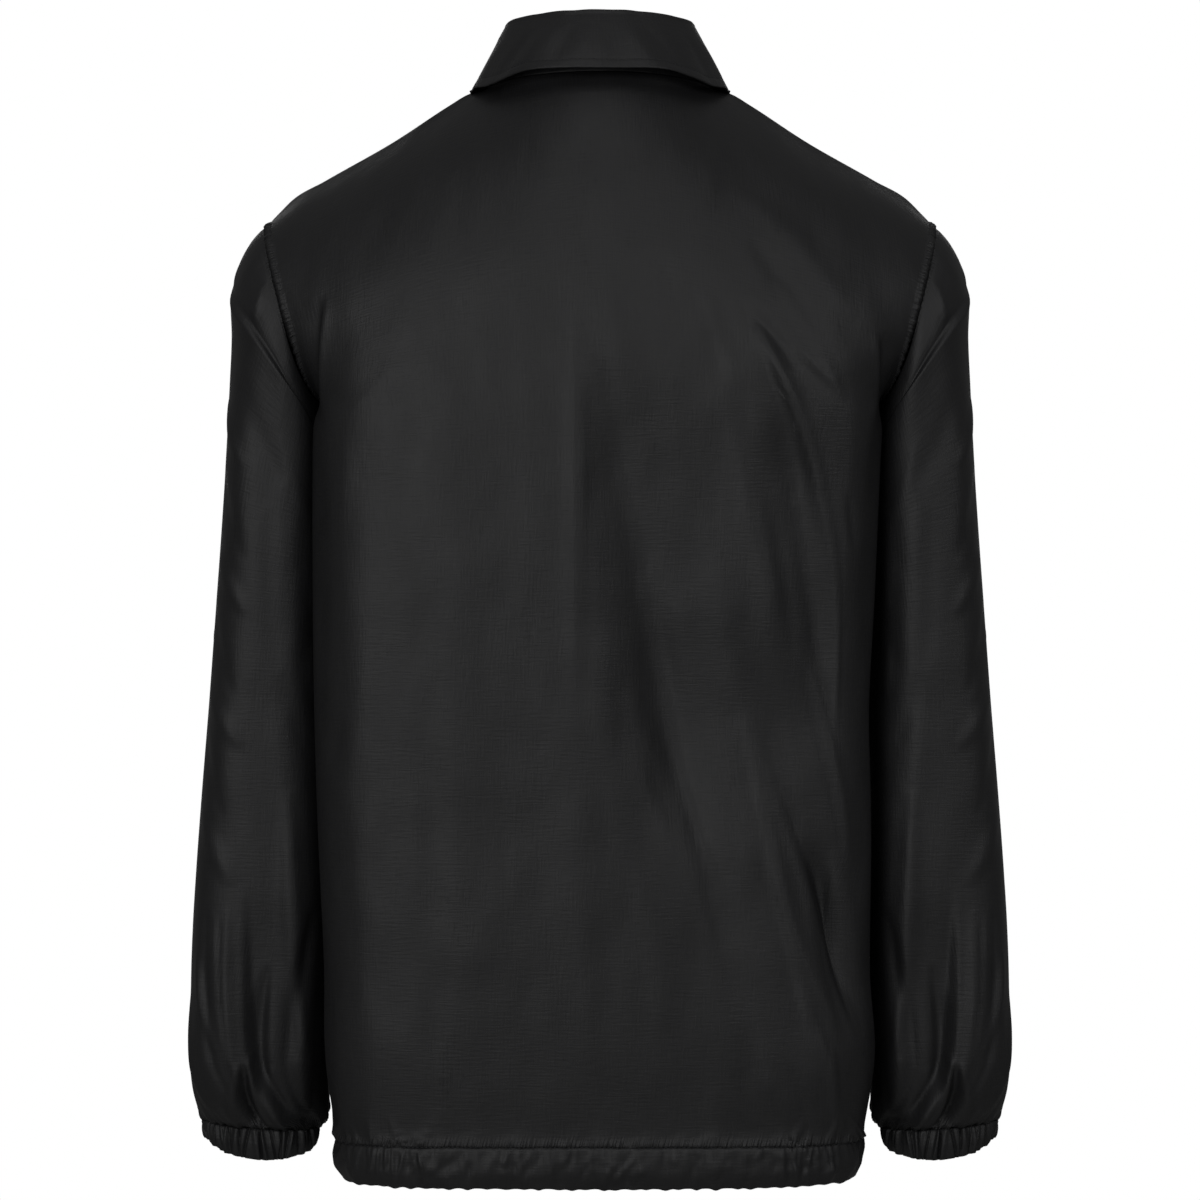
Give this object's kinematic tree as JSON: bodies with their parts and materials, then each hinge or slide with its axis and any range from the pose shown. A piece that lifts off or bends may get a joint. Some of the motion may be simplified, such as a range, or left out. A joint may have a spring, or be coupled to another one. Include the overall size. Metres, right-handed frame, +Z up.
{
  "type": "windbreaker jacket",
  "caption": "Hollow worn windbreaker: thin cloth body, drop-shoulder sleeves with gathered elastic cuffs, turned-down collar, snap placket and gathered hem casing",
  "frame": {"origin": "the middle of the neck, level with the two points where the shoulder seams meet the collar, where the wearer's neck and shoulders hold the jacket up", "axes": "+Z up, the front faces -Y and the back +Y, +X towards the wearer's left"},
  "size_m": [0.5638, 0.2632, 0.7948],
  "materials": {
    "shell_fabric": "black nylon taffeta, plain weave with a soft satin sheen",
    "snap": "moulded black plastic snap cap, satin"
  },
  "bodies": {
    "root": {"back_panel": "shell_fabric", "front_left": "shell_fabric", "front_right": "shell_fabric", "placket": "shell_fabric", "sleeve_left": "shell_fabric", "sleeve_right": "shell_fabric", "cuff_left": "shell_fabric", "cuff_right": "shell_fabric", "hem_back": "shell_fabric", "hem_front_left": "shell_fabric", "hem_front_right": "shell_fabric", "collar_stand": "shell_fabric", "collar_leaf": "shell_fabric", "snap_1": "snap", "snap_2": "snap", "snap_3": "snap", "snap_4": "snap", "snap_5": "snap"}
  },
  "joints": []
}
